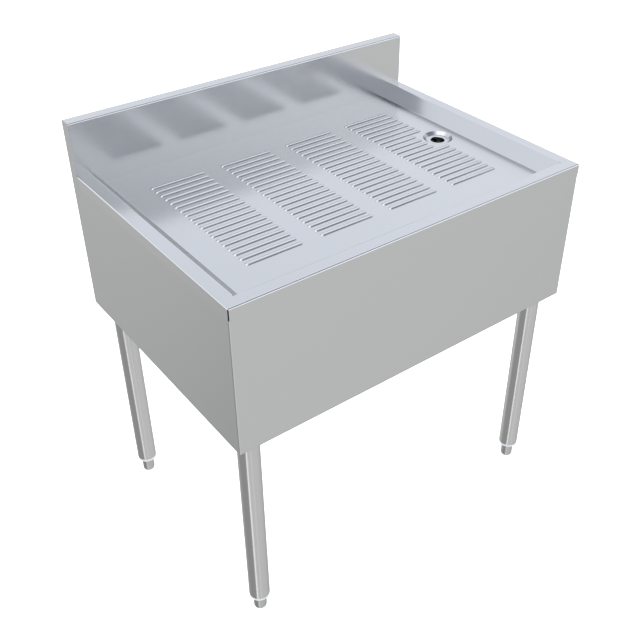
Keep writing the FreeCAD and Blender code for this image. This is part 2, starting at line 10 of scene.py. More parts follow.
import bmesh
import bpy
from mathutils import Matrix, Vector


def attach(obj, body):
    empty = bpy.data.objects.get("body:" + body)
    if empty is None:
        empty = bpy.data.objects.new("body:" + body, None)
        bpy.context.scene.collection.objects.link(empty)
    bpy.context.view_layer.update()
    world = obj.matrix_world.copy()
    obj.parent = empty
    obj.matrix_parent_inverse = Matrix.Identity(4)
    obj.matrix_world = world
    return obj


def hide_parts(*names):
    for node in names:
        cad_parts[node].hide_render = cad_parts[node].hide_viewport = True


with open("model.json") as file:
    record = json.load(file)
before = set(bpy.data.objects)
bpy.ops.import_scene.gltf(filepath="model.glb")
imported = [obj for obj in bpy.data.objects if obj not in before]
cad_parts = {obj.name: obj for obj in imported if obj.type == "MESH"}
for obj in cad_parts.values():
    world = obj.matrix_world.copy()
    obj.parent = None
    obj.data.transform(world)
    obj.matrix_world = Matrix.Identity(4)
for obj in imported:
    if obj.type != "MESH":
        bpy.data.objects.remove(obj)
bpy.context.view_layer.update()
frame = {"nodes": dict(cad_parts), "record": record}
nodes = frame["nodes"]

# %% [markdown]
# ## Driving sizes
# The new pieces have to fit the solid model, so their places are worked out from the sizes that it was
# drawn with. The body stands with its middle over the origin, its front towards -Y.

# %% Driving sizes
MM = 0.001
HALF_WIDTH = 381.0 * MM
HALF_DEPTH = 270.0 * MM
RIM = 750.0 * MM           # floor to the top of the rim
BODY_HEIGHT = 292.0 * MM   # rim down to the bottom of the apron
RIM_WIDTH = 25.4 * MM
TRAY_DEPTH = 24.0 * MM     # rim down to the deck; the tray's walls slope at 45 degrees
SKIRT_HEIGHT = 22.0 * MM   # turned-down edge of the top sheet
SPLASH_RETURN = 25.5 * MM  # depth of the backsplash's flat top
SHEET = 1.2 * MM
DRAIN_FROM_SIDE = 94.0 * MM
LEG_INSET = 38.2 * MM

DECK = RIM - TRAY_DEPTH
WALL_FOOT_Y = RIM_WIDTH + TRAY_DEPTH - HALF_DEPTH
SPLASH_FACE = HALF_DEPTH - SPLASH_RETURN
DRAIN_X = HALF_WIDTH - DRAIN_FROM_SIDE
DRAIN_Y = (WALL_FOOT_Y + SPLASH_FACE) / 2
print("deck at", round(DECK, 4), "drain at", round(DRAIN_X, 4), round(DRAIN_Y, 5))

# %% [markdown]
# ## Small helpers for modelling
# An operator works on everything that is selected, so each new piece starts from an empty selection. In
# edit mode the points are picked by where they are, which keeps the script readable: "the points at deck
# level", "the points of the right half". A finished piece has its place in its mesh, so that its object
# sits at the origin like the frame's own parts.

# %% Helpers for selecting and editing
CLOSE = 0.002 * MM         # two points nearer than this count as one


def near(a, b):
    """True where two lengths agree."""
    return abs(a - b) < CLOSE


def only(piece):
    """Make one object the active and only selected one, in object mode."""
    if bpy.context.object and bpy.context.object.mode != "OBJECT":
        bpy.ops.object.mode_set(mode="OBJECT")
    bpy.ops.object.select_all(action="DESELECT")
    piece.select_set(True)
    bpy.context.view_layer.objects.active = piece


def edit(piece):
    """Go into edit mode on one piece, with nothing in it selected."""
    only(piece)
    bpy.ops.object.mode_set(mode="EDIT")
    bpy.ops.mesh.select_mode(type="VERT")
    bpy.ops.mesh.select_all(action="DESELECT")


def choose(piece, test):
    """Select, in edit mode, the points whose place passes the test."""
    points = bmesh.from_edit_mesh(piece.data)
    for point in points.verts:
        point.select = test(point.co)
    points.select_flush_mode()
    bmesh.update_edit_mesh(piece.data)


def settle(piece, degrees=30):
    """Write place and turn into the mesh, and shade smooth except at edges sharper than the angle."""
    only(piece)
    bpy.ops.object.transform_apply(location=True, rotation=True, scale=True)
    bpy.ops.object.shade_smooth_by_angle(angle=math.radians(degrees))


def copies_at(master, places):
    """Copy a piece to each (x, y), each copy with its own mesh, and join the copies into one piece."""
    copies = []
    for x, y in places:
        only(master)
        bpy.ops.object.duplicate(linked=False)
        copy = bpy.context.object
        copy.location = (x, y, 0)
        copies.append(copy)
    only(copies[0])
    for copy in copies:
        copy.select_set(True)
    bpy.ops.object.join()
    return bpy.context.object


def remove(piece):
    """Delete a master that was only there to be copied."""
    only(piece)
    bpy.ops.object.delete()


print("helpers ready")

# %% [markdown]
# ## Turning and threading
# Feet, inserts and the drain are turned parts. By hand one draws half of the outline point by point and
# spins it round the axis, and the helper does the same. A thread is one tooth of the outline that climbs
# by a pitch while it turns, which is what the Screw modifier does; its two ends are then cut level.

# %% Helpers for turned and threaded pieces


def arc(centre, radius, start, end, steps):
    """Points of a round in an outline; centre is (radius, height) and the angles are in degrees."""
    points = []
    for k in range(steps + 1):
        turn = math.radians(start + (end - start) * k / steps)
        points.append((centre[0] + radius * math.cos(turn), centre[1] + radius * math.sin(turn)))
    return points


def outline(name, points):
    """A line of (radius, height) points in the XZ plane, drawn by extruding one point again and again."""
    bpy.ops.object.select_all(action="DESELECT")
    bpy.ops.mesh.primitive_plane_add(size=MM)
    piece = bpy.context.object
    piece.name = name
    edit(piece)
    bpy.ops.mesh.select_all(action="SELECT")
    bpy.ops.mesh.merge(type="CENTER")
    bpy.ops.transform.translate(value=(points[0][0], 0, points[0][1]))
    for before, after in zip(points, points[1:]):
        step = (after[0] - before[0], 0, after[1] - before[1])
        bpy.ops.mesh.extrude_vertices_move(TRANSFORM_OT_translate={"value": step})
    return piece


def lathe(name, points, steps=64):
    """Spin a closed outline round the upright axis."""
    piece = outline(name, points + points[:1])
    bpy.ops.mesh.select_all(action="SELECT")
    bpy.ops.mesh.spin(steps=steps, angle=2 * math.pi, center=(0, 0, 0), axis=(0, 0, 1))
    bpy.ops.mesh.select_all(action="SELECT")
    bpy.ops.mesh.remove_doubles(threshold=CLOSE)
    bpy.ops.mesh.normals_make_consistent(inside=False)
    bpy.ops.object.mode_set(mode="OBJECT")
    return piece


def thread(name, crest, depth, pitch, bottom, top, steps=24):
    """The skin of a screw thread between two heights, open at both ends."""
    root = crest - depth
    rise_start = 0.25 * pitch
    crest_start = 0.56 * pitch
    crest_end = 0.69 * pitch
    tooth = [(root, 0), (root, rise_start), (crest, crest_start), (crest, crest_end), (root, pitch)]
    start = bottom - 1.5 * pitch
    piece = outline(name, [(radius, start + height) for radius, height in tooth])
    only(piece)
    bpy.ops.object.modifier_add(type="SCREW")
    screw = piece.modifiers[-1]
    screw.axis = "Z"
    screw.screw_offset = pitch
    screw.iterations = math.ceil((top - start) / pitch) + 1
    screw.steps = steps
    screw.render_steps = steps
    bpy.ops.object.modifier_apply(modifier=screw.name)
    edit(piece)
    bpy.ops.mesh.select_all(action="SELECT")
    bpy.ops.mesh.remove_doubles(threshold=CLOSE)
    bpy.ops.mesh.normals_make_consistent(inside=False)
    for level, upward in ((bottom, -1), (top, 1)):
        bpy.ops.mesh.select_all(action="SELECT")
        bpy.ops.mesh.bisect(plane_co=(0, 0, level), plane_no=(0, 0, upward), clear_outer=True)
    return piece


def point_end(piece, level, rise, scale):
    """Close one end of a thread, in edit mode: extrude it by the rise, shrink it and fill it."""
    choose(piece, lambda p: near(p.z, level))
    bpy.ops.mesh.extrude_region_move(TRANSFORM_OT_translate={"value": (0, 0, rise)})
    bpy.ops.transform.resize(value=(scale, scale, 1), center_override=(0, 0, level + rise))
    bpy.ops.mesh.edge_face_add()


print("lathe and thread ready")

# %% [markdown]
# ## Satin stainless steel
# The body, top, legs and feet are stainless sheet and tube with a fine satin grain. The metal is a mirror
# that is only a little blurred, so almost all of its look comes from what it reflects: a metallic shader
# with a medium-low roughness. The grain is a noise that is stretched far along one direction, and it
# changes the roughness a little and tilts the surface by an amount that is hardly seen. Every finish is
# kept in a list by the name of the slot that it belongs to.

# %% A function for satin metal
STEEL = (0.66, 0.665, 0.67)
EDGE_TINT = (0.65, 0.65, 0.65, 1.0)    # steel reflects a little less than a perfect metal at a flat angle
finishes = {}


def satin_metal(name, colour, roughness, grain, grain_depth, spread=0.05):
    """Metal with a stretched grain; grain gives the noise scale along X, Y and Z, per metre."""
    material = bpy.data.materials.new(name + "_satin")
    finishes[name] = material
    material.use_nodes = True
    tree = material.node_tree
    shader = tree.nodes["Principled BSDF"]
    shader.inputs["Metallic"].default_value = 1.0
    shader.inputs["Base Color"].default_value = (*colour, 1.0)
    shader.inputs["Specular Tint"].default_value = EDGE_TINT

    place = tree.nodes.new("ShaderNodeTexCoord")
    stretch = tree.nodes.new("ShaderNodeMapping")
    stretch.inputs["Scale"].default_value = grain
    noise = tree.nodes.new("ShaderNodeTexNoise")
    noise.inputs["Scale"].default_value = 1.0
    noise.inputs["Detail"].default_value = 4.0
    tree.links.new(place.outputs["Object"], stretch.inputs["Vector"])
    tree.links.new(stretch.outputs["Vector"], noise.inputs["Vector"])

    span = tree.nodes.new("ShaderNodeMapRange")
    span.inputs["To Min"].default_value = roughness - spread
    span.inputs["To Max"].default_value = roughness + spread
    tree.links.new(noise.outputs["Fac"], span.inputs["Value"])
    tree.links.new(span.outputs["Result"], shader.inputs["Roughness"])

    bump = tree.nodes.new("ShaderNodeBump")
    bump.inputs["Strength"].default_value = grain_depth
    bump.inputs["Distance"].default_value = 0.01 * MM
    tree.links.new(noise.outputs["Fac"], bump.inputs["Height"])
    tree.links.new(bump.outputs["Normal"], shader.inputs["Normal"])


print("metal recipe ready")

# %% [markdown]
# The sheet's grain runs along the width of the body. The frame under the deck is plain mill-finish sheet,
# a little duller.

# %% The finishes
satin_metal("top_sheet", STEEL, 0.20, (8, 900, 900), 0.05, 0.02)
satin_metal("body_sheet", STEEL, 0.26, (8, 900, 900), 0.04, 0.03)
satin_metal("frame_steel", (0.56, 0.565, 0.57), 0.40, (60, 60, 60), 0.15)
satin_metal("foot_steel", (0.60, 0.61, 0.61), 0.30, (60, 60, 1500), 0.12)
satin_metal("fastener_steel", (0.58, 0.59, 0.61), 0.30, (300, 300, 300), 0.10)
satin_metal("drain_metal", STEEL, 0.18, (80, 80, 400), 0.05, 0.02)
print("finishes:", len(finishes))

# %% [markdown]
# ## Tubes polished round and round
# The legs are polished on a belt that runs round the tube. The fine scratches lie in rings, and they smear
# a reflection along the tube's height: a lamp becomes one long thin highlight. The shader's anisotropy
# does this, with its direction taken round the upright axis and turned by a quarter.

# %% Finish of the legs
satin_metal("leg_tube_steel", (0.67, 0.675, 0.67), 0.24, (40, 40, 1500), 0.10, 0.03)
tree = finishes["leg_tube_steel"].node_tree
shader = tree.nodes["Principled BSDF"]
shader.inputs["Anisotropic"].default_value = 0.8
shader.inputs["Anisotropic Rotation"].default_value = 0.25
ring_way = tree.nodes.new("ShaderNodeTangent")
ring_way.direction_type = "RADIAL"
ring_way.axis = "Z"
tree.links.new(ring_way.outputs["Tangent"], shader.inputs["Tangent"])
print("leg finish ready")

# %% [markdown]
# ## Painted shade in the bore and the slits
# Seen from above, the drain's bore is almost black, because light that falls into a pipe does not come back.
# The open slit down each front corner of the skirt looks black for the same reason. That shade is painted
# into the base colour. Both are upright, so the colour goes by the distance from an upright axis, in Object
# coordinates. Above a lowest level, anything closer than the first distance is painted near-black, and past
# the second one it has the colour of the sheet.

# %% A function for painted shade
NO_LIGHT = (0.012, 0.012, 0.015)


def paint_shade(name, x, y, nearer, farther, lowest):
    """Painted shade: near-black base colour round the upright axes at x and -x."""
    tree = finishes[name].node_tree
    place = tree.nodes.new("ShaderNodeTexCoord")
    parts = tree.nodes.new("ShaderNodeSeparateXYZ")
    sideways = tree.nodes.new("ShaderNodeMath")
    sideways.operation = "ABSOLUTE"
    level = tree.nodes.new("ShaderNodeCombineXYZ")
    away = tree.nodes.new("ShaderNodeVectorMath")
    away.operation = "DISTANCE"
    away.inputs[1].default_value = (x, y, 0)
    edge = tree.nodes.new("ShaderNodeMapRange")
    edge.inputs["From Min"].default_value = nearer
    edge.inputs["From Max"].default_value = farther
    below = tree.nodes.new("ShaderNodeMath")
    below.operation = "LESS_THAN"
    below.inputs[1].default_value = lowest
    plain = tree.nodes.new("ShaderNodeMath")
    plain.operation = "MAXIMUM"
    tone = tree.nodes.new("ShaderNodeValToRGB")
    tone.color_ramp.elements[0].color = (*NO_LIGHT, 1)
    tone.color_ramp.elements[1].color = (*STEEL, 1)
    links = tree.links
    links.new(place.outputs["Object"], parts.inputs[0])
    links.new(parts.outputs["X"], sideways.inputs[0])
    links.new(sideways.outputs[0], level.inputs["X"])
    links.new(parts.outputs["Y"], level.inputs["Y"])
    links.new(level.outputs[0], away.inputs[0])
    links.new(away.outputs["Value"], edge.inputs["Value"])
    links.new(parts.outputs["Z"], below.inputs[0])
    links.new(edge.outputs["Result"], plain.inputs[0])
    links.new(below.outputs[0], plain.inputs[1])
    links.new(plain.outputs[0], tone.inputs[0])
    links.new(tone.outputs["Color"], tree.nodes["Principled BSDF"].inputs["Base Color"])
    print("dark places on", name)


print("recipe for dark places ready")

# %% The bore and the two slits
BORE = 12.7 * MM
SOFT_EDGE = 0.5 * MM
BORE_DARK = BORE + 0.8 * MM
SLIT_DARK = 1.3 * MM
SLIT_BOTTOM = RIM - SKIRT_HEIGHT - 2.0 * MM
# painted shade inside the drain's bore, where light does not come back up
paint_shade("drain_metal", DRAIN_X, DRAIN_Y, BORE_DARK, BORE_DARK + SOFT_EDGE, 0.0)
# painted shade in the open slit down each front corner of the skirt
paint_shade("top_sheet", HALF_WIDTH, -HALF_DEPTH, SLIT_DARK, SLIT_DARK + SOFT_EDGE, SLIT_BOTTOM)

# %% [markdown]
# ## Plastic and rubber
# The insert in each leg is white nylon: a plain dielectric with a soft highlight and a very faint mottle
# from moulding. The drain's gasket is black rubber.

# %% Plastic and rubber


def moulded(name, colour, roughness, mottle):
    """Non-metal with a faint mottle in its roughness."""
    material = bpy.data.materials.new(name + "_moulded")
    finishes[name] = material
    material.use_nodes = True
    tree = material.node_tree
    shader = tree.nodes["Principled BSDF"]
    shader.inputs["Base Color"].default_value = (*colour, 1.0)
    place = tree.nodes.new("ShaderNodeTexCoord")
    noise = tree.nodes.new("ShaderNodeTexNoise")
    noise.inputs["Scale"].default_value = 350.0
    span = tree.nodes.new("ShaderNodeMapRange")
    span.inputs["To Min"].default_value = roughness - mottle
    span.inputs["To Max"].default_value = roughness + mottle
    tree.links.new(place.outputs["Object"], noise.inputs["Vector"])
    tree.links.new(noise.outputs["Fac"], span.inputs["Value"])
    tree.links.new(span.outputs["Result"], shader.inputs["Roughness"])


moulded("white_nylon", (0.86, 0.86, 0.86), 0.42, 0.06)
moulded("seal_rubber", (0.02, 0.02, 0.02), 0.75, 0.08)
print("moulded finishes ready")

# %% [markdown]
# ## Each node gets the finish of its slot
# The record says which material slot each node takes. The loop looks up the finish by that name.

# %% Dress the nodes
for part in frame["record"]["subparts"]:
    piece = nodes[part["node"]]
    piece.data.materials.clear()
    piece.data.materials.append(finishes[part["material_slot"]])

# %% [markdown]
# A new piece takes its finish in the same way, says which moving body it rides on, and may name the nodes
# that it stands in for.

# %% Helper to finish a new piece


def fit(piece, slot, body="body", instead_of=()):
    """Give a new piece its finish and its body."""
    piece.data.materials.clear()
    piece.data.materials.append(finishes[slot])
    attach(piece, body)
    if instead_of:
        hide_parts(*instead_of)
    print(piece.name, "faces:", len(piece.data.polygons), "on", body)


print("fit ready")

# %% [markdown]
# ## Pressed ribs
# Each rib is pressed up from below by a round bar, so its section is part of a circle, its ends are parts
# of a ball, and its sides run down to the deck in a straight slope. A ball that is pulled apart in the
# middle has that shape. It is cut off where its side has become as steep as the slope, and the cut edge is
# drawn down and outwards to the deck. The solid model holds the same rib with a few flat sides, and the new
# skin lies a hair outside it.

# %% One rib
RIB_LENGTH = 112.0 * MM
RIB_WIDTH = 9.6 * MM
RIB_RISE = 2.4 * MM
RIB_SKIN = 0.08 * MM       # how far the smooth skin lies outside the solid rib
RIB_GAUGE = 0.3 * MM       # thickness of the skin, inside the sheet
RIB_SLOPE = 40.0           # steepest slope of a rib's side, in degrees
RIB_SINK = 0.04 * MM       # how far the foot of the skin dips into the sheet


def pressed_rib(length):
    """Smooth rib over the origin, with its foot at deck level."""
    reach = (length - RIB_WIDTH) / 2
    crown = ((RIB_WIDTH / 2) ** 2 + RIB_RISE ** 2) / (2 * RIB_RISE)
    axis = DECK + RIB_RISE - crown
    ball = crown + RIB_SKIN
    bpy.ops.object.select_all(action="DESELECT")
    bpy.ops.mesh.primitive_uv_sphere_add(
        segments=28, ring_count=13, radius=ball, location=(0, 0, axis), rotation=(0, math.pi / 2, 0))
    piece = bpy.context.object
    bpy.ops.object.transform_apply(location=True, rotation=True, scale=True)
    edit(piece)
    for side in (-1, 1):
        choose(piece, lambda p: p.x * side > 0)
        bpy.ops.transform.translate(value=(side * reach, 0, 0))
    slope = math.radians(RIB_SLOPE)
    level = axis + ball * math.cos(slope)
    foot = DECK - RIB_SINK
    cut_radius = ball * math.sin(slope)
    wider = 1 + (level - foot) / math.tan(slope) / cut_radius
    bpy.ops.mesh.select_all(action="SELECT")
    bpy.ops.mesh.bisect(plane_co=(0, 0, level), plane_no=(0, 0, 1), clear_inner=True)
    choose(piece, lambda p: near(p.z, level))
    bpy.ops.mesh.extrude_region_move(TRANSFORM_OT_translate={"value": (0, 0, foot - level)})
    for side in (-1, 1):
        choose(piece, lambda p: near(p.z, foot) and p.x * side > 0)
        bpy.ops.transform.resize(value=(wider, wider, 1), center_override=(side * reach, 0, 0))
    bpy.ops.object.mode_set(mode="OBJECT")
    bpy.ops.object.modifier_add(type="SOLIDIFY")
    piece.modifiers[-1].thickness = RIB_GAUGE
    piece.modifiers[-1].offset = -1
    bpy.ops.object.modifier_apply(modifier=piece.modifiers[-1].name)
    return piece


full_rib = pressed_rib(RIB_LENGTH)
print("one rib:", len(full_rib.data.polygons), "faces")

# %% [markdown]
# There are four blocks of nineteen ribs. The ribs that would run into the drain's dish are cut short, so a
# second, shorter rib is made for them.

# %% All the ribs
RIB_PITCH = 17.6 * MM
BLOCK_PITCH = 148.4 * MM
FIRST_RIB_Y = WALL_FOOT_Y + 67.0 * MM
RIBS_PER_BLOCK = 19
BLOCKS = 4
DRAIN_KEEP_CLEAR = 35.0 * MM

full_places = []
short_places = []
last_block = (BLOCKS - 1) / 2 * BLOCK_PITCH
short_start = last_block - RIB_LENGTH / 2
short_length = DRAIN_X - DRAIN_KEEP_CLEAR - short_start
for block in range(BLOCKS):
    x = (block - (BLOCKS - 1) / 2) * BLOCK_PITCH
    for row in range(RIBS_PER_BLOCK):
        y = FIRST_RIB_Y + row * RIB_PITCH
        if block == BLOCKS - 1 and abs(y - DRAIN_Y) < DRAIN_KEEP_CLEAR:
            short_places.append((short_start + short_length / 2, y))
        else:
            full_places.append((x, y))

short_rib = pressed_rib(short_length)
pressed_ribs = copies_at(full_rib, full_places)
short_ribs = copies_at(short_rib, short_places)
remove(full_rib)
remove(short_rib)
only(pressed_ribs)
short_ribs.select_set(True)
bpy.ops.object.join()
pressed_ribs.name = "pressed_ribs"
settle(pressed_ribs, 60)
fit(pressed_ribs, "top_sheet")
print("ribs:", len(full_places), "full and", len(short_places), "short")

# %% [markdown]
# ## Drain dish and drain
# The drain sits in a small drawn dish, whose bends at the mouth and at the floor are smooth. One turned
# skin, a hair above the solid dish, gives them that smoothness. The fitting itself is turned: a polished
# flange with a rounded mouth, a neck that carries the pipe thread, a groove, and a plain free end.

# %% Smooth dish
DISH_RADIUS = 30.0 * MM
DISH_SLOPE = 6.5 * MM
DISH_DEPTH = 6.5 * MM
DISH_BEND = 2.2 * MM
DISH_LIP = 3.0 * MM         # how far the skin reaches over the deck
DISH_HOLE = 18.0 * MM       # inner edge of the skin, under the flange
DISH_SKIN = 0.05 * MM
SKIN_GAUGE = 0.3 * MM
BEND_REACH = DISH_BEND * math.tan(math.radians(22.5))
DISH_SEAT = DECK - DISH_DEPTH

mouth = arc((DISH_RADIUS + BEND_REACH, DECK - DISH_BEND), DISH_BEND + DISH_SKIN, 90, 135, 6)
floor_bend = arc(
    (DISH_RADIUS - DISH_SLOPE - BEND_REACH, DISH_SEAT + DISH_BEND), DISH_BEND - DISH_SKIN, -45, -90, 6)
rim_point = (DISH_RADIUS + DISH_LIP, DECK - DISH_SKIN)
hole_point = (DISH_HOLE, DISH_SEAT + DISH_SKIN)
upper = [rim_point] + mouth + floor_bend + [hole_point]
lower = [(radius, height - SKIN_GAUGE) for radius, height in reversed(upper)]
dish_skin = lathe("dish_skin", upper + lower, 72)
dish_skin.location = (DRAIN_X, DRAIN_Y, 0)
settle(dish_skin, 40)
fit(dish_skin, "top_sheet")

# %% The turned fitting
NECK = 16.7 * MM
OUTLET = 16.6 * MM
FLANGE = 22.3 * MM
FLANGE_THICK = 1.5 * MM
FLANGE_EDGE = 0.6 * MM
MOUTH_ROUND = 3.3 * MM
NECK_LENGTH = 22.0 * MM
GROOVE = 3.0 * MM
GROOVE_DEPTH = 0.8 * MM
OUTLET_LENGTH = 25.0 * MM
OUTLET_CHAMFER = 0.8 * MM
PIPE_THREAD_DEPTH = 1.16 * MM
PIPE_THREAD_PITCH = 2.309 * MM

flange_top = DISH_SEAT + FLANGE_THICK
neck_end = DISH_SEAT - NECK_LENGTH
outlet_top = neck_end - GROOVE
outlet_end = outlet_top - OUTLET_LENGTH
fitting_points = [
    (BORE, outlet_end),
    (OUTLET - OUTLET_CHAMFER, outlet_end),
    (OUTLET, outlet_end + OUTLET_CHAMFER),
    (OUTLET, outlet_top),
    (OUTLET - GROOVE_DEPTH, outlet_top),
    (OUTLET - GROOVE_DEPTH, neck_end),
    (NECK - PIPE_THREAD_DEPTH, neck_end),
    (NECK - PIPE_THREAD_DEPTH, DISH_SEAT),
    (FLANGE, DISH_SEAT),
]
fitting_points += arc((FLANGE - FLANGE_EDGE, flange_top - FLANGE_EDGE), FLANGE_EDGE, 0, 90, 4)
fitting_points += arc((BORE + MOUTH_ROUND, flange_top - MOUTH_ROUND), MOUTH_ROUND, 90, 180, 8)
drain_body = lathe("drain_body", fitting_points, 96)
drain_body.location = (DRAIN_X, DRAIN_Y, 0)
settle(drain_body)
fit(drain_body, "drain_metal", instead_of=["drain_fitting"])

# %% [markdown]
# The pipe thread is a sleeve round the neck: the thread's skin, with its two open ends drawn inwards and
# joined to each other inside the neck's wall.

# %% Thread of the drain's neck
SLEEVE_SCALE = 0.90
sleeve_top = DISH_SEAT - 0.1 * MM
drain_thread = thread("drain_thread", NECK, PIPE_THREAD_DEPTH, PIPE_THREAD_PITCH, neck_end, sleeve_top, 48)
for level in (neck_end, sleeve_top):
    choose(drain_thread, lambda p: near(p.z, level))
    bpy.ops.mesh.extrude_region_move(TRANSFORM_OT_translate={"value": (0, 0, 0)})
    bpy.ops.transform.resize(value=(SLEEVE_SCALE, SLEEVE_SCALE, 1), center_override=(0, 0, level))
inner_reach = NECK * (SLEEVE_SCALE + 0.01)
choose(drain_thread, lambda p: math.hypot(p.x, p.y) < inner_reach)
bpy.ops.mesh.bridge_edge_loops()
bpy.ops.mesh.select_all(action="SELECT")
bpy.ops.mesh.normals_make_consistent(inside=False)
bpy.ops.object.mode_set(mode="OBJECT")
drain_thread.location = (DRAIN_X, DRAIN_Y, 0)
settle(drain_thread)
fit(drain_thread, "drain_metal")

# %% [markdown]
# ## Chamfered nuts
# A nut is hexagon bar that was faced on a lathe, which cuts its corners to a cone. The same two steps make
# it here: a six-sided bar, and a turned ring with sloped edges; what both have in common is the nut.

# %% Helper for nuts
FACE_SHARE = 0.96           # diameter of the flat ring on a nut's face, over its width
NUT_SLOPE = 30.0            # chamfer of its corners, in degrees


def nut(name, across_flats, thick, top, bore):
    """Hexagon nut with chamfered corners on both faces."""
    corner = across_flats / math.sqrt(3)
    face = FACE_SHARE * across_flats / 2
    slope = (corner - face) * math.tan(math.radians(NUT_SLOPE))
    bottom = top - thick
    rim = corner + 0.1 * MM
    lower_half = [(bore, bottom), (face, bottom), (rim, bottom + slope)]
    ring = lower_half + [(rim, top - slope), (face, top), (bore, top)]
    cutter = lathe(name + "_ring", ring, 48)
    bpy.ops.object.select_all(action="DESELECT")
    centre = (0, 0, top - thick / 2)
    bpy.ops.mesh.primitive_cylinder_add(
        vertices=6, radius=corner, depth=thick, location=centre, rotation=(0, 0, math.pi / 6))
    piece = bpy.context.object
    piece.name = name
    bpy.ops.object.transform_apply(location=True, rotation=True, scale=True)
    bpy.ops.object.modifier_add(type="BOOLEAN")
    piece.modifiers[-1].operation = "INTERSECT"
    piece.modifiers[-1].object = cutter
    piece.modifiers[-1].solver = "EXACT"
    bpy.ops.object.modifier_apply(modifier=piece.modifiers[-1].name)
    remove(cutter)
    return piece


print("nut recipe ready")

# %% The drain's locknut
LOCKNUT_FLATS = 44.0 * MM
LOCKNUT_THICK = 9.0 * MM
BORE_GAP = 0.05 * MM        # a nut's bore is wider than its thread by this
GASKET_THICK = 2.5 * MM
WASHER_THICK = 1.5 * MM
locknut_top = DISH_SEAT - SHEET - GASKET_THICK - WASHER_THICK
locknut = nut("locknut", LOCKNUT_FLATS, LOCKNUT_THICK, locknut_top, NECK + BORE_GAP)
locknut.location = (DRAIN_X, DRAIN_Y, 0)
settle(locknut)
fit(locknut, "drain_metal", instead_of=["drain_locknut"])

# %% [markdown]
# The two channels under the deck hang on six weld studs with a nut each. Stud and nut are made once and
# copied to the six places.

# %% Studs and nuts under the deck
CHANNEL_SHEET = 1.5 * MM
STUD_RADIUS = 3.0 * MM
STUD_LENGTH = 16.0 * MM
STUD_PITCH = 1.0 * MM
STUD_DEPTH = 0.55 * MM
STUD_FLATS = 10.0 * MM
STUD_NUT_THICK = 5.0 * MM
STUD_FROM_END = 62.0 * MM   # tray wall's foot, or backsplash, to the nearest stud
END_CAP = 0.99              # a flat end is drawn in by a hundredth
STUD_ROWS = (WALL_FOOT_Y + STUD_FROM_END, DRAIN_Y, SPLASH_FACE - STUD_FROM_END)
stud_top = DECK - SHEET
stud_end = stud_top - STUD_LENGTH
stud = thread("stud", STUD_RADIUS, STUD_DEPTH, STUD_PITCH, stud_end + STUD_DEPTH, stud_top, 16)
point_end(stud, stud_end + STUD_DEPTH, -STUD_DEPTH, 0.8)
point_end(stud, stud_top, 0, END_CAP)
bpy.ops.object.mode_set(mode="OBJECT")
stud_nut = nut("stud_nut", STUD_FLATS, STUD_NUT_THICK, stud_top - CHANNEL_SHEET, STUD_RADIUS + BORE_GAP)
fastener_places = [(side * BLOCK_PITCH, y) for side in (-1, 1) for y in STUD_ROWS]
weld_studs = copies_at(stud, fastener_places)
weld_studs.name = "weld_studs"
settle(weld_studs)
fit(weld_studs, "fastener_steel", instead_of=["channel_studs"])
stud_nuts = copies_at(stud_nut, fastener_places)
stud_nuts.name = "stud_nuts"
settle(stud_nuts)
fit(stud_nuts, "fastener_steel", instead_of=["channel_nuts"])
remove(stud)
remove(stud_nut)

# %% [markdown]
# ## Levelling feet
# Each foot is a steel bullet on a threaded stem that screws into a white nylon insert. The insert's flange
# shows as a white ring under the tube, with a softly rounded edge. Foot and stem move together; the insert
# stays with the leg.

# %% Foot, stem and insert
FOOT_RADIUS = 12.5 * MM
FOOT_NOSE = 6.5 * MM
FOOT_SHOULDER = 36.4 * MM
FOOT_CHAMFER = 0.7 * MM
STEM_RADIUS = 6.0 * MM
STEM_PITCH = 1.75 * MM
STEM_THREAD_DEPTH = 1.0 * MM
STEM_CHAMFER = 1.2 * MM
STEM_BOTTOM = FOOT_SHOULDER - 20.0 * MM
STEM_TOP = FOOT_SHOULDER + 37.0 * MM
STEM_HOLE = STEM_RADIUS + BORE_GAP
INSERT_BOTTOM = 36.7 * MM
LEG_BOTTOM = 43.2 * MM
INSERT_TOP = LEG_BOTTOM + 28.0 * MM
INSERT_FLANGE = 19.6 * MM
INSERT_PLUG = 18.45 * MM
INSERT_BORE = 6.25 * MM
INSERT_EDGE = 1.4 * MM
INSERT_TAPER = 1.5 * MM

foot_points = [(0, 0)]
foot_points += arc((FOOT_RADIUS - FOOT_NOSE, FOOT_NOSE), FOOT_NOSE, -90, 0, 10)
foot_points += [
    (FOOT_RADIUS, FOOT_SHOULDER - FOOT_CHAMFER),
    (FOOT_RADIUS - FOOT_CHAMFER, FOOT_SHOULDER),
    (STEM_HOLE, FOOT_SHOULDER),
    (STEM_HOLE, STEM_BOTTOM),
    (0, STEM_BOTTOM),
]
foot_master = lathe("foot_master", foot_points, 48)

stem_master = thread(
    "stem_master", STEM_RADIUS, STEM_THREAD_DEPTH, STEM_PITCH, STEM_BOTTOM, STEM_TOP - STEM_CHAMFER)
point_end(stem_master, STEM_TOP - STEM_CHAMFER, STEM_CHAMFER, 0.8)
point_end(stem_master, STEM_BOTTOM, 0, END_CAP)
bpy.ops.object.mode_set(mode="OBJECT")

insert_points = [(INSERT_BORE, INSERT_BOTTOM)]
insert_points += arc((INSERT_FLANGE - INSERT_EDGE, INSERT_BOTTOM + INSERT_EDGE), INSERT_EDGE, -90, 0, 6)
insert_points += [
    (INSERT_FLANGE, LEG_BOTTOM),
    (INSERT_PLUG, LEG_BOTTOM),
    (INSERT_PLUG, INSERT_TOP - INSERT_TAPER),
    (INSERT_PLUG - INSERT_TAPER, INSERT_TOP),
    (INSERT_BORE, INSERT_TOP),
]
insert_master = lathe("insert_master", insert_points, 64)
print("masters ready")

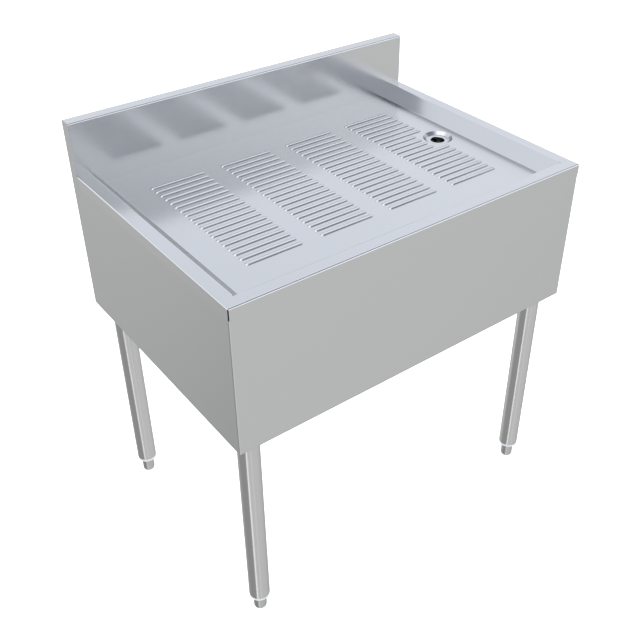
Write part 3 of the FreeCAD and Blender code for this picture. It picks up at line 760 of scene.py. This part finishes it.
# %% The four feet in their places
LEG_X = HALF_WIDTH - LEG_INSET
LEG_Y = HALF_DEPTH - LEG_INSET
CORNERS = {
    "front_left": (-LEG_X, -LEG_Y),
    "front_right": (LEG_X, -LEG_Y),
    "rear_left": (-LEG_X, LEG_Y),
    "rear_right": (LEG_X, LEG_Y),
}
for corner, place in CORNERS.items():
    moving = "levelling_foot_" + corner
    for master, name, slot, body, node in (
        (foot_master, "bullet_foot_", "foot_steel", moving, "foot_"),
        (stem_master, "threaded_stem_", "fastener_steel", moving, "foot_stem_"),
        (insert_master, "nylon_insert_", "white_nylon", "body", "foot_insert_"),
    ):
        piece = copies_at(master, [place])
        piece.name = name + corner
        settle(piece)
        fit(piece, slot, body, [node + corner])
for master in (foot_master, stem_master, insert_master):
    remove(master)

# %% [markdown]
# ## Weld beads
# The sleeve that takes each leg is welded to its corner plate all round. The bead is a turned ring with a
# rounded face that dips a little into the sleeve and the plate, as a weld runs into both.

# %% Beads round the leg sleeves
GUSSET_THICK = 2.0 * MM
GUSSET_TOP = RIM - BODY_HEIGHT + SHEET + GUSSET_THICK
SLEEVE_FLANGE = 28.55 * MM
BEAD = 2.6 * MM
BEAD_SINK = 0.1 * MM
bead_back = SLEEVE_FLANGE - 2 * BEAD_SINK
bead_points = [(bead_back, GUSSET_TOP), (bead_back, GUSSET_TOP + BEAD)]
bead_points += arc((SLEEVE_FLANGE, GUSSET_TOP - BEAD_SINK), BEAD, 80, 2, 6)
bead_master = lathe("bead_master", bead_points, 72)
for corner, place in CORNERS.items():
    bead = copies_at(bead_master, [place])
    bead.name = "weld_bead_" + corner
    settle(bead)
    fit(bead, "frame_steel")
remove(bead_master)

# %% [markdown]
# ## Floor and background
# The floor is plain and pale. Seen by the camera it has a glow of its own, so that the background is white
# without a stronger lamp on the object. Under that glow it still takes real light, which keeps the soft
# shadow at the feet. In the metal's reflections the floor steps aside for the dome behind it, so that every
# leg mirrors the same surroundings.

# %% A pale floor
bpy.ops.object.select_all(action="DESELECT")
bpy.ops.mesh.primitive_plane_add(size=60.0, location=(0, 0, 0))
floor = bpy.context.object
floor.name = "studio_floor"
floor_finish = bpy.data.materials.new("studio_floor")
floor_finish.use_nodes = True
tree = floor_finish.node_tree
tree.nodes.clear()
rays = tree.nodes.new("ShaderNodeLightPath")
mirrored = tree.nodes.new("ShaderNodeMath")
mirrored.operation = "MAXIMUM"
tree.links.new(rays.outputs["Is Glossy Ray"], mirrored.inputs[0])
tree.links.new(rays.outputs["Is Transmission Ray"], mirrored.inputs[1])
lit = tree.nodes.new("ShaderNodeBsdfDiffuse")
lit.inputs["Color"].default_value = (0.85, 0.85, 0.85, 1)
white_glow = tree.nodes.new("ShaderNodeEmission")
white_glow.inputs["Color"].default_value = (1, 1, 1, 1)
white_glow.inputs["Strength"].default_value = 0.75
camera_side = tree.nodes.new("ShaderNodeAddShader")
tree.links.new(lit.outputs[0], camera_side.inputs[0])
tree.links.new(white_glow.outputs[0], camera_side.inputs[1])
pick_camera = tree.nodes.new("ShaderNodeMixShader")
tree.links.new(rays.outputs["Is Camera Ray"], pick_camera.inputs[0])
tree.links.new(lit.outputs[0], pick_camera.inputs[1])
tree.links.new(camera_side.outputs[0], pick_camera.inputs[2])
open_floor = tree.nodes.new("ShaderNodeBsdfTransparent")
pick_mirror = tree.nodes.new("ShaderNodeMixShader")
tree.links.new(mirrored.outputs[0], pick_mirror.inputs[0])
tree.links.new(pick_camera.outputs[0], pick_mirror.inputs[1])
tree.links.new(open_floor.outputs[0], pick_mirror.inputs[2])
output = tree.nodes.new("ShaderNodeOutputMaterial")
tree.links.new(pick_mirror.outputs[0], output.inputs[0])
floor.data.materials.append(floor_finish)
print("floor ready")

# %% [markdown]
# ## A soft studio
# The world is white for the camera. In reflections it is a soft studio: bright walls at the back, dimmer
# walls at the front, and pale ground below. Round patches are laid over it by their direction, as a
# photographer places cards and flags. The pieces mirror them in different places, so each patch draws one
# thing: the backsplash, the crests of the ribs, their dark near flanks, or their round ends.

# %% Walls and ground
world = bpy.data.worlds.new("studio")
bpy.context.scene.world = world
world.use_nodes = True
sky = world.node_tree
sky.nodes.clear()
rays = sky.nodes.new("ShaderNodeLightPath")
way = sky.nodes.new("ShaderNodeTexCoord")


def facing(direction):
    """How closely a ray points in a direction: the cosine of the angle between them."""
    dot = sky.nodes.new("ShaderNodeVectorMath")
    dot.operation = "DOT_PRODUCT"
    dot.inputs[1].default_value = Vector(direction).normalized()
    sky.links.new(way.outputs["Generated"], dot.inputs[0])
    return dot.outputs["Value"]


def soft_step(value, nothing, full):
    """0 at one value, 1 at another, with a soft change between."""
    step = sky.nodes.new("ShaderNodeMapRange")
    step.interpolation_type = "SMOOTHSTEP"
    step.inputs["From Min"].default_value = nothing
    step.inputs["From Max"].default_value = full
    sky.links.new(value, step.inputs["Value"])
    return step.outputs["Result"]


def both(first, second):
    """The product of two amounts."""
    product = sky.nodes.new("ShaderNodeMath")
    product.operation = "MULTIPLY"
    sky.links.new(first, product.inputs[0])
    sky.links.new(second, product.inputs[1])
    return product.outputs[0]


def mixed(under, over, amount):
    """Lay one colour over another by an amount from 0 to 1; the upper one may be a plain colour."""
    mix = sky.nodes.new("ShaderNodeMix")
    mix.data_type = "RGBA"
    sky.links.new(amount, mix.inputs["Factor"])
    sky.links.new(under, mix.inputs["A"])
    if isinstance(over, tuple):
        mix.inputs["B"].default_value = (*over, 1)
    else:
        sky.links.new(over, mix.inputs["B"])
    return mix.outputs["Result"]


def band(stops):
    """Colour by height in the dome: 0 at the level of the horizon, 1 straight up."""
    ramp = sky.nodes.new("ShaderNodeValToRGB")
    ends = ramp.color_ramp.elements
    for end, (position, colour) in zip(ends, (stops[0], stops[-1])):
        end.position = position
        end.color = (*colour, 1)
    for position, colour in stops[1:-1]:
        ends.new(position).color = (*colour, 1)
    sky.links.new(height, ramp.inputs[0])
    return ramp.outputs["Color"]


height = facing((0, 0, 1))
back_walls = band([
    (0.00, (1.00, 1.00, 1.00)),
    (0.22, (0.92, 0.95, 1.00)),
    (0.34, (0.74, 0.77, 0.83)),
    (0.46, (0.72, 0.755, 0.83)),
    (0.57, (0.59, 0.62, 0.68)),
    (0.80, (0.59, 0.62, 0.68)),
])
front_walls = band([
    (0.00, (0.22, 0.235, 0.255)),
    (0.45, (0.36, 0.38, 0.425)),
    (0.62, (0.43, 0.455, 0.51)),
    (0.90, (0.43, 0.455, 0.51)),
])
walls = mixed(front_walls, back_walls, soft_step(facing((0, 1, 0)), -0.45, 0.35))
print("walls ready")

# %% Cards and flags


def round_card(under, direction, inner, outer, colour):
    """Soft round patch; inner and outer are degrees from its middle."""
    nothing = math.cos(math.radians(outer))
    full = math.cos(math.radians(inner))
    return mixed(under, colour, soft_step(facing(direction), nothing, full))


GROUND = (0.480, 0.480, 0.477)

# bright card low at the front right, for the backsplash and the far deck
dome = round_card(walls, (0.62, -0.77, 0.12), 8, 38, (1.14, 1.19, 1.26))
# bright card high at the back right, for the crests of the ribs
dome = round_card(dome, (0.50, 0.25, 0.83), 5, 25, (0.82, 0.85, 0.92))
# dark flag high at the front right, for the near flanks of the ribs
dome = round_card(dome, (0.50, -0.36, 0.79), 14, 30, (0.16, 0.17, 0.20))
# dark flag below it, for the blocks of ribs as the backsplash mirrors them
dome = round_card(dome, (0.38, -0.62, 0.69), 6, 19, (0.18, 0.19, 0.22))
# bright card overhead, for the round ends of the ribs and the dish's wall
dome = round_card(dome, (-0.38, -0.02, 0.925), 20, 32, (1.0, 1.0, 1.04))
# the ground hides what reaches below the horizon, and is paler towards the back
dome = mixed(dome, GROUND, soft_step(height, 0.0, -0.15))
dome = round_card(dome, (-0.20, 0.85, -0.48), 8, 26, (0.53, 0.53, 0.53))
print("cards ready")

# %% [markdown]
# The legs mirror what stands to the left, below eye level. A dark flag there gives each leg its darker
# left third. A narrow bright panel at the flag's edge draws the one crisp line down each leg, and a much
# fainter panel farther round draws the second line.

# %% A flag and two panels for the legs


def upright_panel(under, compass, half_width, soft, colour):
    """Narrow upright panel below the horizon; compass is its direction seen from above."""
    ahead = Vector((compass[0], compass[1], 0)).normalized()
    aside = Vector((-ahead.y, ahead.x, 0))
    width = sky.nodes.new("ShaderNodeMath")
    width.operation = "ABSOLUTE"
    sky.links.new(facing(aside), width.inputs[0])
    amount = soft_step(width.outputs[0], half_width + soft, half_width)
    amount = both(amount, soft_step(facing(ahead), 0.1, 0.3))
    return mixed(under, colour, both(amount, soft_step(height, 0.0, -0.15)))


PANEL = Vector((-0.82, -0.572, 0.0))
flag_side = Vector((PANEL.y, -PANEL.x, 0))
flag_middle = facing((-0.81, 0.10, -0.58))
flag = soft_step(flag_middle, math.cos(math.radians(54)), math.cos(math.radians(20)))
dome = mixed(dome, (0.245, 0.245, 0.245), both(flag, soft_step(facing(flag_side), -0.02, 0.02)))
dome = upright_panel(dome, PANEL, 0.05, 0.04, (0.90, 0.90, 0.90))
dome = upright_panel(dome, (-0.16, -0.99), 0.06, 0.06, (0.54, 0.54, 0.54))

white = sky.nodes.new("ShaderNodeBackground")
white.inputs["Color"].default_value = (1, 1, 1, 1)
studio = sky.nodes.new("ShaderNodeBackground")
studio.inputs["Strength"].default_value = 1.5
sky.links.new(dome, studio.inputs["Color"])
pick = sky.nodes.new("ShaderNodeMixShader")
sky.links.new(rays.outputs["Is Camera Ray"], pick.inputs[0])
sky.links.new(studio.outputs[0], pick.inputs[1])
sky.links.new(white.outputs[0], pick.inputs[2])
output = sky.nodes.new("ShaderNodeOutputWorld")
sky.links.new(pick.outputs[0], output.inputs[0])
print("world ready")

# %% [markdown]
# ## Lamps
# Three large soft lamps light the floor, the nylon and the rubber. They are hidden from mirror reflections,
# where the studio does their work.

# %% Softboxes
MIDDLE = Vector((0, 0, 0.5))


def softbox(name, place, size, power):
    """Square area lamp that looks at the middle of the object and is not seen in reflections."""
    lamp = bpy.data.lights.new(name, "AREA")
    lamp.shape = "RECTANGLE"
    lamp.size = size
    lamp.size_y = size
    lamp.energy = power
    holder = bpy.data.objects.new(name, lamp)
    bpy.context.scene.collection.objects.link(holder)
    holder.location = place
    holder.rotation_euler = (MIDDLE - Vector(place)).to_track_quat("-Z", "Y").to_euler()
    holder.visible_glossy = False


softbox("softbox_front_left", (-2.6, -2.2, 2.8), 2.2, 30)
softbox("softbox_back_right", (2.2, 2.6, 3.0), 2.2, 25)
softbox("softbox_over_camera", (-1.5, -1.35, 3.1), 1.3, 10)
print("lamps ready")

# %% [markdown]
# ## Camera
# The view is the photograph's: from the front left, a good third of the way up. The lens and the small
# shift come from fitting the body's straight edges in the picture.

# %% Camera
CAMERA_PLACE = Vector((-0.88438, -1.18527, 1.49478))
CAMERA_AIM = Vector((0.49565, 0.65042, -0.57557))
lens = bpy.data.cameras.new("camera")
lens.lens = 50.20
lens.sensor_width = 36.0
lens.shift_x = -0.0245
lens.shift_y = -0.0318
camera = bpy.data.objects.new("camera", lens)
camera.location = CAMERA_PLACE
camera.rotation_euler = CAMERA_AIM.to_track_quat("-Z", "Y").to_euler()
bpy.context.scene.collection.objects.link(camera)
bpy.context.scene.camera = camera
bpy.context.scene.view_settings.view_transform = "Standard"
print("camera at", [round(v, 3) for v in camera.location])
